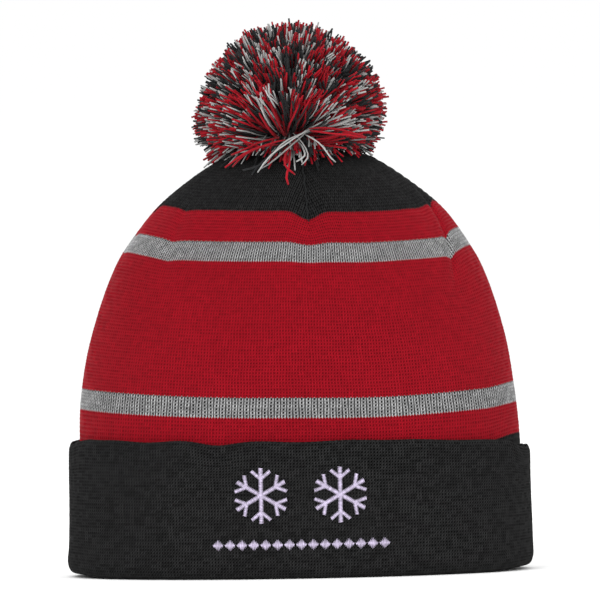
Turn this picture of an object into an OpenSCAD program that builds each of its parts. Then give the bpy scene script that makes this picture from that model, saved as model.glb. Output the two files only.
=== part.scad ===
// Pom pom beanie: a double-layer knitted cap with colour bands, a turned-up cuff
// and a three-colour yarn pom tied on at the gathered crown.
// Millimetres. The origin is the centre of the rim that the cap stands on.
// +X is across the cap, -Y is its front, +Z is up.

/* [Body] */
// Width of the knitted body just above the cuff
body_w = 223.6; // [210:0.2:236]
// Depth of the body from front to back
body_d = 134; // [126:1:142]
// Thickness of the outer knit layer
outer_t = 2.4; // [1.8:0.1:2.8]
// Thickness of the lining
lining_t = 2.2; // [1.6:0.1:2.4]
// How much higher a course of knitting lies at the sides than at the front
course_rise = 4.3; // [0:0.1:6]
// How far the fabric is drawn in along the four crown seams
seam_valley = 1.8; // [0:0.1:2.4]
// How far a course dips where it meets a crown seam
seam_dip = 4.5; // [0:0.5:6]
// Angle from the front's middle to the nearest crown seam
seam_turn = 4; // [-10:1:10]
// How much further the courses rise at the outer edges of the shoulders
shoulder_rise = 2.6; // [0:0.1:4]
// How much lower the courses lie in the right half than in the left
course_lean = 1.7; // [0:0.1:3]

/* [Colour bands, heights at the front] */
// Top of the black base behind the cuff
base_top = 66; // [60:0.5:69]
// Bottom of the lower grey stripe
lower_stripe_bottom = 81.3; // [76:0.1:84]
// Top of the lower grey stripe
lower_stripe_top = 91.5; // [88:0.1:96]
// Bottom of the upper grey stripe
upper_stripe_bottom = 160.3; // [140:0.1:164]
// Top of the upper grey stripe
upper_stripe_top = 170.2; // [166:0.1:174]
// Height where the black crown starts
crown_start = 185.7; // [178:0.1:190]

/* [Cuff] */
// Height of the turned-up cuff
cuff_h = 70; // [60:1:76]
// Thickness of each of the cuff's two layers
cuff_t = 2.3; // [1.8:0.1:2.5]
// Space between the cuff's two layers, which holds the embroidery backing
cuff_space = 0.7; // [0.5:0.1:1]
// Radius of the roll at the cuff's lower edge
roll_r = 8; // [6:0.5:10]
// How far the rim rises at the two sides
rim_lift = 1.5; // [0:0.5:6]
// How much lower the cuff's free edge lies at its right end
cuff_droop = 2.9; // [0:0.1:4]

/* [Embroidery] */
// Width across each snowflake
flake_w = 28; // [20:1:32]
// Distance of each snowflake's middle from the centre line
flake_x = 20; // [17:0.5:30]
// Height of the snowflakes' middles above the rim
flake_z = 42.5; // [36:0.5:48]
// Height of the border's middle above the rim
border_z = 17.4; // [14:0.2:20]
// Number of diamonds in the border
border_count = 15; // [7:2:17]
// How proud the stitches stand of the cuff
stitch_t = 0.9; // [0.5:0.1:1.2]

/* [Pom] */
// Diameter of the pom
pom_d = 98; // [80:1:104]
// Height of the pom's middle above the rim
pom_z = 230.5; // [229:0.5:236]
// Height of the pivot in the tie above the rim
pivot_z = 226.5; // [226:0.5:228]
// Number of yarn bunches of each colour
bunches = 4; // [2:1:6]

/* [Hidden] */

knit_red = [0.60, 0.08, 0.13];
knit_black = [0.13, 0.13, 0.14];
knit_grey = [0.50, 0.50, 0.50];
thread_lilac = [0.80, 0.76, 0.85];

layer_gap = 0.3;              // between two layers of fabric
around = 60;                  // straight sides in a ring of knit
angle_step = 360 / around;
// Every ring has a corner on each crown seam.
RING_ANGLES = [for (i = [0 : around - 1]) seam_turn + i * angle_step];
seam_angle_width = 5;         // degrees over which a crown seam draws the fabric in
rest_share = 0.85;            // share of the half width that rests flat on the rim
thread_r = 0.45;              // radius of the seam thread
thread_clear = 0.65;          // from the fabric to the middle of the seam thread

// The cap's half width at each height of the front's centre line.
half_w = body_w / 2;
top_hole_r = 4.5;
crown_h = 222.5;
HALF_WIDTHS = [
    [0, half_w], [40, half_w], [64, half_w], [86.5, 0.986 * half_w],
    [117, 0.938 * half_w], [148.8, 0.840 * half_w], [174.8, 0.702 * half_w],
    [194, 0.554 * half_w], [209, 0.370 * half_w], [217.5, 0.190 * half_w],
    [crown_h, top_hole_r]
];

// Insets of the layers from the outer surface of the body.
lining_out = outer_t + layer_gap;
lining_in = lining_out + lining_t;

// The cuff is measured inwards from its own outer surface.
cuff_stack = 2 * cuff_t + cuff_space + layer_gap;
cuff_half_w = half_w + cuff_stack;
cuff_half_d = body_d / 2 + cuff_stack;
under_out = cuff_t + cuff_space;
under_in = under_out + cuff_t;
wall_in = cuff_stack + lining_in;
backing_t = 0.3;

core_r = 5;                   // radius of the bound middle of the pom
knot_r = 3;
cord_r = 1.6;
pom_bottom = pivot_z + 1.5;
binding_bottom = pivot_z + 0.5;
binding_top = pivot_z + 16.5;

// ---------------------------------------------------------------- functions

function smooth(low, high, x) =
    let (t = min(max((x - low) / (high - low), 0), 1)) t * t * (3 - 2 * t);

function slope_at(table, i) =
    i == 0 ? (table[1][1] - table[0][1]) / (table[1][0] - table[0][0])
    : i == len(table) - 1
        ? (table[i][1] - table[i - 1][1]) / (table[i][0] - table[i - 1][0])
    : (table[i + 1][1] - table[i - 1][1]) / (table[i + 1][0] - table[i - 1][0]);

function span_of(table, x, i = 0) =
    i >= len(table) - 2 || x < table[i + 1][0] ? i : span_of(table, x, i + 1);

// A smooth curve through the points of a table of [x, y].
function curve(table, x) =
    let (
        i = span_of(table, x),
        width = table[i + 1][0] - table[i][0],
        t = (x - table[i][0]) / width,
        m0 = slope_at(table, i) * width,
        m1 = slope_at(table, i + 1) * width
    )
    (2 * t * t * t - 3 * t * t + 1) * table[i][1] + (t * t * t - 2 * t * t + t) * m0
    + (3 * t * t - 2 * t * t * t) * table[i + 1][1] + (t * t * t - t * t) * m1;

// How near an angle is to one of the four crown seams, from 0 to 1.
function seam_share(a) =
    let (
        turned = (a - seam_turn + 360) % 90,
        off = (turned > 45 ? 90 - turned : turned) / seam_angle_width
    )
    exp(-off * off);

// How near a point is to the shoulders' outer edges, from 0 to 1.
function shoulder(h, a) =
    smooth(120, 160, h) * (1 - smooth(175, 202, h))
    * (smooth(0.74, 1, -cos(a)) + smooth(0.86, 1, cos(a)));

// How far the courses of the right half lie below the left half's, from 0 to 1.
function leaning(h, a) =
    smooth(20, 120, h) * (1 - smooth(200, 220, h))
    * smooth(-0.1, 0.48, cos(a)) * (1 - smooth(0.86, 1, cos(a)));

// How far the point at height h and angle a lies above its height at the front.
function lift(h, a) =
    course_rise * smooth(60, 85, h) * (1 - smooth(110, 215, h)) * cos(a) * cos(a)
    + shoulder_rise * shoulder(h, a) - course_lean * leaning(h, a)
    + rim_lift * smooth(rest_share, 1, abs(cos(a))) * (1 - smooth(0, 30, h));

// A point on the outer surface of the body, with no dip of the courses at the seams.
function surface_point(h, a) =
    let (
        w = curve(HALF_WIDTHS, min(h, crown_h)),
        share = body_d / body_w,
        depth_share = share + (1 - share) * pow(max(h - 90, 0) / (crown_h - 90), 3),
        valley = seam_valley * smooth(150, 195, h) * (1 - smooth(205, crown_h, h)),
        drawn = 1 - valley * seam_share(a) / w
    )
    [w * drawn * cos(a), w * drawn * depth_share * sin(a), h + lift(h, a)];

function dipped(h, a) =
    let (near = min(max((h - 145) / (crown_start - 145), 0), 1))
    h - seam_dip * seam_share(a) * near * near * (1 - smooth(190, 215, h));

// A point of the course of knitting at height h, a distance in from the outer surface.
function knit_point(h, a, inset) =
    let (
        at = min(dipped(h, a), crown_h - 0.1),
        p = surface_point(at, a),
        across = surface_point(at, a + 0.2) - surface_point(at, a - 0.2),
        up = surface_point(at + 0.1, a) - surface_point(at - 0.1, a),
        out = cross(across, up)
    )
    p - inset * out / norm(out);

// A point on the cuff, a distance in from its outer surface.
function cuff_point(inset, z, a) =
    let (
        out = [cos(a) / cuff_half_w, sin(a) / cuff_half_d, 0],
        droop = cuff_droop * smooth(0.45, 1, cos(a)) * smooth(25, cuff_h, z)
    )
    [cuff_half_w * cos(a), cuff_half_d * sin(a), z + lift(min(z, 30), a) - droop]
    - inset * out / norm(out);

// ------------------------------------------------------------ solid builders

// A closed loop of section points, carried round the cap. grid[k][i] is the point
// number k of the section at angle number i; the section runs up the outside and
// down the inside.
module ring_of(grid) {
    rows = len(grid);
    polyhedron(
        points = [for (row = grid) each row],
        faces = [
            for (k = [0 : rows - 1])
                for (i = [0 : around - 1])
                    let (
                        a = k * around + i,
                        b = k * around + (i + 1) % around,
                        c = ((k + 1) % rows) * around + (i + 1) % around,
                        d = ((k + 1) % rows) * around + i,
                        outside = k < rows / 2
                    )
                    each (outside ? [[a, d, c], [a, c, b]] : [[a, d, b], [b, d, c]])
        ],
        convexity = 4
    );
}

// A band of the body between two courses and between two insets from its surface.
module knit_band(low, high, rows, outer_inset, inner_inset) {
    heights = [for (j = [0 : rows]) low + (high - low) * j / rows];
    ring_of([
        for (j = [0 : rows]) [for (a = RING_ANGLES) knit_point(heights[j], a, outer_inset)],
        for (j = [rows : -1 : 0])
            [for (a = RING_ANGLES) knit_point(heights[j], a, inner_inset)]
    ]);
}

// A ring of the cuff with a section of [inset, height] points.
module cuff_ring(section) {
    ring_of([
        for (s = section) [for (a = RING_ANGLES) cuff_point(s[0], s[1], a)]
    ]);
}

// A round thread along a path, with a direction out of the fabric at each point.
module thread(path, outs, r) {
    sides = 6;
    last = len(path) - 1;
    rings = [
        for (k = [0 : last])
            let (
                along = path[min(k + 1, last)] - path[max(k - 1, 0)],
                side = cross(along, outs[k]),
                u = side / norm(side),
                v = cross(u, along) / norm(along)
            )
            each [for (s = [0 : sides - 1]) path[k] + r * (cos(s * 60) * u + sin(s * 60) * v)]
    ];
    polyhedron(
        points = rings,
        faces = [
            [for (s = [0 : sides - 1]) s],
            [for (s = [sides - 1 : -1 : 0]) last * sides + s],
            for (k = [0 : last - 1])
                for (s = [0 : sides - 1])
                    let (
                        a = k * sides + s,
                        b = k * sides + (s + 1) % sides,
                        c = b + sides,
                        d = a + sides
                    )
                    each [[a, d, c], [a, c, b]]
        ]
    );
}

// The threads of the four crown seams, on one surface of the fabric.
module seam_threads(inset, low, high) {
    steps = 10;
    heights = [for (k = [0 : steps]) low + (high - low) * k / steps];
    for (a = [seam_turn : 90 : 270 + seam_turn]) {
        thread(
            [for (h = heights) knit_point(h, a, inset)],
            [for (h = heights) knit_point(h, a, inset - 1) - knit_point(h, a, inset)],
            thread_r
        );
    }
}

// A flat outline on XZ, wrapped on the front of the cuff as raised stitching.
module on_cuff(x, z) {
    front_r = cuff_half_w * cuff_half_w / cuff_half_d;
    tall = 60;
    clear = 0.05;
    intersection() {
        translate([x, 0, z])
            rotate([90, 0, 0])
                linear_extrude(height = 100)
                    children();
        translate([0, front_r - cuff_half_d, z - tall / 2])
            difference() {
                cylinder(r = front_r + stitch_t, h = tall, $fn = 200);
                translate([0, 0, -1])
                    cylinder(r = front_r + clear, h = tall + 2, $fn = 200);
            }
    }
}

module flake_outline() {
    arm_w = 2.2;
    twig_w = 1.8;
    twig_l = 6;
    for (k = [0 : 2])
        rotate(30 + 60 * k)
            square([flake_w, arm_w], center = true);
    for (k = [0 : 5])
        rotate(30 + 60 * k)
            translate([0.3 * flake_w, 0])
                for (side = [-1, 1])
                    rotate(side * 50)
                        translate([0, -twig_w / 2])
                            square([twig_l, twig_w]);
}

// Half the outline of the ball of yarn: flat underneath, and closed over its binding.
module ball_section() {
    ball_r = pom_d / 2;
    middle_gap = 0.6;
    intersection() {
        circle(r = ball_r, $fn = 96);
        translate([core_r, pom_bottom - pom_z])
            square([ball_r, 2 * ball_r]);
    }
    intersection() {
        circle(r = ball_r, $fn = 96);
        translate([middle_gap, binding_top - pom_z])
            square([ball_r, 2 * ball_r]);
    }
}

// Bunches of yarn of one colour, each a slice of the ball.
module yarn_bunches(first) {
    slice = 360 / (3 * bunches);
    for (k = [0 : bunches - 1])
        translate([0, 0, pom_z])
            rotate([0, 0, (3 * k + first) * slice])
                rotate_extrude(angle = slice, $fn = 96)
                    ball_section();
}

// ----------------------------------------------------------------- sub-parts

module crown_section() {
    color(knit_black) knit_band(crown_start, crown_h, 9, 0, outer_t);
}

module upper_red_band() {
    color(knit_red) knit_band(upper_stripe_top, crown_start, 3, 0, outer_t);
}

module upper_grey_stripe() {
    color(knit_grey) knit_band(upper_stripe_bottom, upper_stripe_top, 2, 0, outer_t);
}

module main_red_band() {
    color(knit_red) knit_band(lower_stripe_top, upper_stripe_bottom, 7, 0, outer_t);
}

module lower_grey_stripe() {
    color(knit_grey) knit_band(lower_stripe_bottom, lower_stripe_top, 1, 0, outer_t);
}

module lower_red_band() {
    color(knit_red) knit_band(base_top, lower_stripe_bottom, 2, 0, outer_t);
}

module base_band() {
    color(knit_black) knit_band(6.5, base_top, 4, 0, outer_t);
}

module lining() {
    color(knit_black) knit_band(4, crown_h, 24, lining_out, lining_in);
}

module crown_seam_thread() {
    color(knit_black) seam_threads(-thread_clear, 180, 220);
}

module lining_seam_thread() {
    color(knit_black) seam_threads(lining_in + 2 * thread_clear, 180, 216);
}

module cuff_under_layer() {
    color(knit_black)
        cuff_ring([
            [under_out, 10], [under_out, cuff_h - 1.5],
            [under_in, cuff_h - 1.5], [under_in, 9]
        ]);
}

module cuff_face() {
    // Up the outside from the flat foot, over the top, and down the inside.
    color(knit_black)
        cuff_ring([
            [wall_in - 3.5, 0], [roll_r / 2 - 0.4, 1.2], [1, roll_r / 2], [0, 1.5 * roll_r],
            [0, cuff_h - 2.5], [0.7, cuff_h - 0.5],
            [1.6, cuff_h], [cuff_t, cuff_h - 1], [cuff_t, 1.5 * roll_r],
            [under_out, 8], [cuff_stack + 1, 3.6], [wall_in, 2.8], [wall_in, 0]
        ]);
}

module embroidery_backing() {
    middle = (cuff_t + under_out) / 2;
    half_angle = 21;
    grid = [
        for (s = [[middle - backing_t / 2, 12.5], [middle - backing_t / 2, 60],
                  [middle + backing_t / 2, 60], [middle + backing_t / 2, 12.5]])
            each [
                for (a = [-half_angle : angle_step : half_angle]) cuff_point(s[0], s[1], 270 + a)
            ]
    ];
    across = 2 * half_angle / angle_step + 1;
    color("white")
        polyhedron(
            points = grid,
            faces = [
                for (k = [0 : 3])
                    for (i = [0 : across - 2])
                        let (
                            a = k * across + i,
                            b = a + 1,
                            d = ((k + 1) % 4) * across + i,
                            c = d + 1
                        )
                        each [[a, d, c], [a, c, b]],
                for (i = [0, across - 1])
                    let (
                        q = [i, across + i, 2 * across + i, 3 * across + i],
                        quad = i == 0 ? [q[3], q[2], q[1], q[0]] : q
                    )
                    each [[quad[0], quad[1], quad[2]], [quad[0], quad[2], quad[3]]]
            ]
        );
}

module left_snowflake() {
    color(thread_lilac) on_cuff(-flake_x, flake_z) flake_outline();
}

module right_snowflake() {
    color(thread_lilac) on_cuff(flake_x, flake_z) flake_outline();
}

module stitched_border() {
    diamond = 3.8;
    pitch = 6;
    color(thread_lilac)
        on_cuff(0, border_z)
            for (k = [0 : border_count - 1])
                translate([(k - (border_count - 1) / 2) * pitch, 0])
                    rotate(45)
                        square(diamond, center = true);
}

module anchor_cord() {
    color(knit_black)
        translate([0, 0, pivot_z - 10])
            cylinder(r = cord_r, h = 10 - knot_r - 0.2, $fn = 32);
}

module inside_knot() {
    inside_r = 3.6;
    color(knit_black)
        translate([0, 0, pivot_z - 10 - inside_r * 0.9])
            difference() {
                sphere(r = inside_r, $fn = 48);
                translate([-inside_r, -inside_r, inside_r * 0.9])
                    cube([2 * inside_r, 2 * inside_r, inside_r]);
            }
}

module tie_knot() {
    color(knit_black) translate([0, 0, pivot_z]) sphere(r = knot_r, $fn = 48);
}

module pom_binding() {
    color(knit_black)
        difference() {
            translate([0, 0, binding_bottom])
                cylinder(r = core_r, h = binding_top - binding_bottom, $fn = 48);
            translate([0, 0, pivot_z])
                sphere(r = knot_r + 0.25, $fn = 48);
        }
}

module pom_red_yarn() {
    color(knit_red) yarn_bunches(0);
}

module pom_black_yarn() {
    color(knit_black) yarn_bunches(1);
}

module pom_grey_yarn() {
    color(knit_grey) yarn_bunches(2);
}

crown_section();
upper_red_band();
upper_grey_stripe();
main_red_band();
lower_grey_stripe();
lower_red_band();
base_band();
lining();
crown_seam_thread();
lining_seam_thread();
cuff_under_layer();
cuff_face();
embroidery_backing();
left_snowflake();
right_snowflake();
stitched_border();
anchor_cord();
inside_knot();
tie_knot();
pom_binding();
pom_red_yarn();
pom_black_yarn();
pom_grey_yarn();
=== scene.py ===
"""The looks of the pom pom beanie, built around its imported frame.

Lengths are in millimetres up to the moment a mesh is made, and angles in degrees.
The cap's surface follows the frame's formulas: a height of the front's centre line and
an angle round the axis give a point, with 270 degrees at the front. The lean, the
creases, the cuff's waves and its flare are added here.
"""

import math

import bpy
import numpy as np
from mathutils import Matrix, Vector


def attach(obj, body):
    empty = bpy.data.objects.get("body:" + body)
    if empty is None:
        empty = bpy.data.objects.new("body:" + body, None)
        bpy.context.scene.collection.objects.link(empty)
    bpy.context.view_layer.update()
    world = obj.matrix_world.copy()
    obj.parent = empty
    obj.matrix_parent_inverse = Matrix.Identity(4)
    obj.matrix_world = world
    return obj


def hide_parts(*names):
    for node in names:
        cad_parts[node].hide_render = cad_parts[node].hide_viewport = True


MM = 0.001

# ---- driving values ----

BODY_W = 223.6
BODY_D = 134.0
OUTER_T = 2.4
LINING_T = 2.2
LAYER_GAP = 0.3
COURSE_RISE = 4.3
SEAM_VALLEY = 1.8
SEAM_DIP = 4.5
SEAM_ANGLE_WIDTH = 5.0
SEAM_TURN = 4.0
SHOULDER_RISE = 2.6
COURSE_LEAN = 1.7

BASE_TOP = 66.0
BASE_SEEN = 7.0
LOWER_STRIPE = (81.3, 91.5)
UPPER_STRIPE = (160.3, 170.2)
CROWN_START = 185.7
CROWN_H = 222.5
TOP_HOLE_R = 4.5

CUFF_H = 70.0
CUFF_T = 2.3
CUFF_SPACE = 0.7
ROLL_R = 8.0
RIM_LIFT = 1.5
CUFF_DROOP = 2.9
CUFF_FLARE = 1.2
CROWN_LEAN = 1.2
BASE_RAISE = 2.6
REST_SHARE = 0.85

FLAKE_W = 28.0
FLAKE_X = 20.0
FLAKE_Z = 42.5
ARM_W = 2.2
TWIG_W = 1.8
TWIG_L = 6.0
BORDER_Z = 17.4
BORDER_COUNT = 15
BORDER_PITCH = 6.0
DIAMOND_SIDE = 3.8

POM_R = 49.0
POM_Z = 230.5
PIVOT_Z = 226.5

HALF_W = BODY_W / 2
LINING_OUT = OUTER_T + LAYER_GAP
LINING_IN = LINING_OUT + LINING_T
CUFF_STACK = 2 * CUFF_T + CUFF_SPACE + LAYER_GAP
CUFF_HALF_W = HALF_W + CUFF_STACK
CUFF_HALF_D = BODY_D / 2 + CUFF_STACK
UNDER_OUT = CUFF_T + CUFF_SPACE
UNDER_IN = UNDER_OUT + CUFF_T
WALL_IN = CUFF_STACK + LINING_IN

# Half widths and half depths of the body and of the cuff.
BODY_OVAL = (HALF_W, BODY_D / 2)
CUFF_OVAL = (CUFF_HALF_W, CUFF_HALF_D)

# Half the body's width at each height.
HALF_WIDTHS = np.array([
    [0, HALF_W], [40, HALF_W], [64, HALF_W], [86.5, 0.986 * HALF_W],
    [117, 0.938 * HALF_W], [148.8, 0.840 * HALF_W], [174.8, 0.702 * HALF_W],
    [194, 0.554 * HALF_W], [209, 0.370 * HALF_W], [217.5, 0.190 * HALF_W],
    [CROWN_H, TOP_HOLE_R],
])

# Stitches: a wale is one column of them and a course is one row.
BODY_WALES = 180
CUFF_WALES = 192
CUFF_COURSE = 1.62
COLUMNS_PER_WALE = 8
CUFF_COLUMNS = 6
ROWS_PER_COURSE = 4
RELIEF = 0.75
VALLEY_INSET = 0.6
CHEVRON = 0.36

RED = (0.248, 0.0036, 0.0100)
BLACK = (0.0196, 0.0196, 0.0198)
GREY = (0.345, 0.345, 0.347)
LILAC = (0.40, 0.35, 0.47)
YARN_RED = (0.215, 0.0032, 0.0085)
YARN_BLACK = (0.0125, 0.0130, 0.0137)
YARN_GREY = (0.27, 0.27, 0.265)


# ---- surface of the cap ----

def smooth(low, high, x):
    """A soft step from 0 at low to 1 at high."""
    t = np.clip((x - low) / (high - low), 0, 1)
    return t * t * (3 - 2 * t)


def curve(table, x):
    """A smooth curve through the points of a table of [x, y]."""
    xs, ys = table[:, 0], table[:, 1]
    slopes = np.empty(len(xs))
    slopes[1:-1] = (ys[2:] - ys[:-2]) / (xs[2:] - xs[:-2])
    slopes[0] = (ys[1] - ys[0]) / (xs[1] - xs[0])
    slopes[-1] = (ys[-1] - ys[-2]) / (xs[-1] - xs[-2])
    i = np.clip(np.searchsorted(xs, x, side="right") - 1, 0, len(xs) - 2)
    width = xs[i + 1] - xs[i]
    t = (x - xs[i]) / width
    return (
        (2 * t**3 - 3 * t**2 + 1) * ys[i] + (t**3 - 2 * t**2 + t) * slopes[i] * width
        + (3 * t**2 - 2 * t**3) * ys[i + 1] + (t**3 - t**2) * slopes[i + 1] * width
    )


def seam_share(angle):
    """How near an angle is to one of the four crown seams, from 0 to 1."""
    off = ((angle - SEAM_TURN + 45) % 90 - 45) / SEAM_ANGLE_WIDTH
    return np.exp(-off * off)


def lift(height, angle):
    """How far a point lies above its height at the front."""
    to_right = np.cos(np.radians(angle))
    across = np.abs(to_right)
    rise = smooth(60, 85, height) * (1 - smooth(110, 215, height))
    rim = smooth(REST_SHARE, 1, across) * (1 - smooth(0, 30, height))
    shoulder = smooth(120, 160, height) * (1 - smooth(175, 202, height))
    outer = smooth(0.74, 1, -to_right) + smooth(0.86, 1, to_right)
    lean = smooth(20, 120, height) * (1 - smooth(200, 220, height))
    leaning = smooth(-0.1, 0.48, to_right) * (1 - smooth(0.86, 1, to_right))
    return (
        COURSE_RISE * rise * across**2 + SHOULDER_RISE * shoulder * outer
        - COURSE_LEAN * lean * leaning + RIM_LIFT * rim
    )


def surface(height, angle):
    """Points of the cap's outer surface. The oval gets rounder towards the crown."""
    w = curve(HALF_WIDTHS, np.minimum(height, CROWN_H))
    share = BODY_D / BODY_W
    rounding = (np.maximum(height - 90, 0) / (CROWN_H - 90)) ** 3
    depth_share = share + (1 - share) * rounding
    valley = SEAM_VALLEY * smooth(150, 195, height) * (1 - smooth(205, CROWN_H, height))
    drawn = 1 - valley * seam_share(angle) / w
    leant = CROWN_LEAN * smooth(155, 180, height) * (1 - smooth(205, 222, height))
    x = w * drawn * np.cos(np.radians(angle)) + leant
    y = w * drawn * depth_share * np.sin(np.radians(angle))
    return np.stack([x, y, height + lift(height, angle)], -1)


def unit(v):
    """Vectors of length 1."""
    return v / np.maximum(np.linalg.norm(v, axis=-1, keepdims=True), 1e-12)


def lengths(line):
    """How far along a line each of its points lies."""
    return np.concatenate([[0], np.cumsum(np.linalg.norm(np.diff(line, axis=0), axis=1))])


def knit_points(height, angle, inset):
    """Points of the courses at these heights, a distance in from the outer surface."""
    near = np.clip((height - 145) / (CROWN_START - 145), 0, 1)
    dip = SEAM_DIP * seam_share(angle) * near**2 * (1 - smooth(190, 215, height))
    at = np.minimum(height - dip, CROWN_H - 0.1)
    across = surface(at, angle + 0.2) - surface(at, angle - 0.2)
    up = surface(at + 0.1, angle) - surface(at - 0.1, angle)
    return surface(at, angle) - inset[..., None] * unit(np.cross(across, up))


def cuff_points(inset, z, angle):
    """Points on the cuff, a distance in from its outer surface."""
    c, s = np.cos(np.radians(angle)), np.sin(np.radians(angle))
    out = unit(np.stack([c / CUFF_HALF_W, s / CUFF_HALF_D, 0 * c], -1))
    droop = CUFF_DROOP * smooth(0.45, 1, c) * smooth(25, CUFF_H, z)
    height = z + lift(np.minimum(z, 30), angle) - droop
    # The left end leans out towards the bottom.
    flare = CUFF_FLARE * smooth(0.7, 1, -c) * (1 - smooth(0, 45, z))
    base = np.stack([CUFF_HALF_W * c - flare, CUFF_HALF_D * s, height], -1)
    return base - inset[..., None] * out


def even_angles(count, half_w, half_d):
    """Angles that divide an oval into stretches of equal length, from 0 degrees."""
    fine = np.linspace(0, 360, 14401)
    r = np.radians(fine)
    step = np.hypot(half_w * np.sin(r), half_d * np.cos(r))
    length = np.concatenate([[0], np.cumsum((step[1:] + step[:-1]) / 2)])
    return np.interp(np.arange(count) / count * length[-1], length, fine)


def arc_heights(low, high, count):
    """Heights from low to high at equal steps along the front of the cap."""
    fine = np.linspace(low, high, 400)
    length = lengths(surface(fine, np.full_like(fine, 285.0)))
    return np.interp(np.linspace(0, length[-1], count), length, fine)


# ---- stitches ----

def hashed(a, b):
    """A number from 0 to 1 that looks random for each pair of whole numbers."""
    v = np.sin(a * 12.9898 + b * 78.233) * 43758.5453
    return v - np.floor(v)


def stitch_relief(wale, course, bridge=0.9):
    """How far the yarn stands up, from 0 to 1, at a place counted in stitches.

    The bridge is how high the yarn runs across the gap between two wales."""
    even = bridge > 0.6
    spread, leg, tall = (0.25, 0.16, 0.33) if even else (0.27, 0.175, 0.29)
    column = np.floor(wale)
    wobble = 0.03 * np.sin(0.8 * course + 6.283 * hashed(column, 3.0))
    x = wale - column - 0.5 + wobble
    row = np.floor(course)
    y = course - row
    best = np.zeros(np.broadcast(wale, course).shape)

    def lobe(dx, dy, wide, tall, size):
        r2 = (dx / wide) ** 2 + (dy / tall) ** 2
        return np.maximum(best, size * np.sqrt(np.maximum(1 - r2, 0)))

    for k in (-1, 0, 1):
        dy = y - k - 0.5
        size = 0.86 + 0.14 * hashed(column, row + k)
        for side in (-1, 1):
            best = lobe(x - side * (spread + 0.02 * dy), dy, leg, 0.78, size)
            best = lobe(x - side * 0.5, dy + 0.5, 0.19, tall, bridge)
        best = lobe(x, dy + 0.5, 0.2, tall, 0.9)
    return best


# Creases of the shoulders: angle at the crown's edge, how far it turns per millimetre
# lower down, depth, width in degrees and how far the courses dip into it.
CREASES = (
    (342.0, -0.36, 1.5, 1.9, 2.0),
    (216.0, 0.25, 0.7, 3.5, 0.8),
    (30.0, 0.2, 0.8, 3.0, 1.0),
    (158.0, -0.2, 1.0, 2.5, 1.2),
)


def creased(height, angle):
    """How far in the creases draw the fabric, and how far down they draw its courses.

    At the right end the black base also shows a little higher, above the cuff."""
    inward = 0.0
    to_right = smooth(0.8, 1.0, np.cos(np.radians(angle)))
    raised = smooth(BASE_TOP - BASE_SEEN, BASE_TOP, height)
    raised = raised * (1 - smooth(BASE_TOP + 1, BASE_TOP + 16, height))
    down = -BASE_RAISE * to_right * raised
    for place, turn, depth, wide, dip in CREASES:
        off = (angle - place - turn * (CROWN_START - height) + 180) % 360 - 180
        lasts = smooth(134, 171, height) * (1 - smooth(183, 200, height))
        share = np.exp(-np.abs(off / wide) ** 1.5) * lasts
        inward = inward + depth * share
        down = down + dip * share
    return inward, down


def undulation(angle, height):
    """Slight unevenness of a cloth that stands on its own."""
    a = np.radians(angle)
    return (
        0.30 * np.sin(3 * a + height / 21 + 0.6) + 0.22 * np.sin(7 * a - height / 13)
        + 0.12 * np.sin(13 * a + height / 9 + 2)
    )


# ---- mesh building ----

def ring_uv(rows, columns, strips):
    """Corner places of a ring's quads on its own map, laid out as stacked strips."""
    per = math.ceil(columns / strips)
    k = np.arange(rows)[:, None, None] + np.array([0, 0, 1, 1])
    i = np.arange(columns)[None, :, None]
    strip = i // per
    u = ((i % per) + np.array([0, 1, 1, 0])) / per
    v = (strip + 0.02 + 0.96 * k / rows) / strips
    u = np.broadcast_to(0.005 + 0.99 * u, (rows, columns, 4))
    return np.stack([u, np.broadcast_to(v, (rows, columns, 4))], -1).reshape(-1, 2)


def quad_mesh(name, points, quads, uv, attributes, normals=None):
    """A smooth-shaded object from points in millimetres and rows of four corners."""
    mesh = bpy.data.meshes.new(name)
    mesh.vertices.add(len(points))
    mesh.vertices.foreach_set("co", (points * MM).astype(np.float32).ravel())
    mesh.loops.add(quads.size)
    mesh.loops.foreach_set("vertex_index", quads.astype(np.int32).ravel())
    mesh.polygons.add(len(quads))
    starts = np.arange(len(quads), dtype=np.int32) * 4
    mesh.polygons.foreach_set("loop_start", starts)
    mesh.update(calc_edges=True)
    mesh.polygons.foreach_set("use_smooth", np.ones(len(quads), bool))
    layer = mesh.uv_layers.new(name="OFBake")
    layer.data.foreach_set("uv", uv.astype(np.float32).ravel())
    for key, values in attributes.items():
        made = mesh.attributes.new(key, "FLOAT", "POINT")
        made.data.foreach_set("value", values.astype(np.float32).ravel())
    if normals is not None:
        mesh.normals_split_custom_set_from_vertices(normals.tolist())
    ob = bpy.data.objects.new(name, mesh)
    bpy.context.scene.collection.objects.link(ob)
    return ob


def ring_quads(rows, columns):
    """Quads of a section loop of rows that is carried round in columns."""
    k = np.arange(rows)[:, None]
    i = np.arange(columns)[None, :]
    a = k * columns + i
    b = k * columns + (i + 1) % columns
    c = ((k + 1) % rows) * columns + (i + 1) % columns
    d = ((k + 1) % rows) * columns + i
    return np.stack([a, b, c, d], -1).reshape(-1, 4)


def grid_normals(grid):
    """Normals of the inner rows of a grid that closes on itself along its columns."""
    across = np.roll(grid, -1, axis=1) - np.roll(grid, 1, axis=1)
    up = grid[2:] - grid[:-2]
    return unit(np.cross(across[1:-1], up))


def closed_ring(name, outer, inner, strips, relief, tone):
    """A closed band: outer is a grid with one spare row at each end, inner comes back."""
    loop = np.concatenate([outer[1:-1], inner])
    back = np.broadcast_to(-unit(inner * np.array([1, 1, 0])), inner.shape)
    normals = np.concatenate([grid_normals(outer), back]).reshape(-1, 3)
    rows, columns = loop.shape[:2]
    # The relief attribute also sets the painted shade between the stitches; the inner wall
    # gets fixed values.
    values = {
        key: np.concatenate([front[1:-1], np.full(inner.shape[:2], rest)])
        for key, front, rest in (("relief", relief, 0.3), ("tone", tone, 0.5))
    }
    return quad_mesh(
        name, loop.reshape(-1, 3), ring_quads(rows, columns),
        ring_uv(rows, columns, strips), values, normals,
    )


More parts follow.
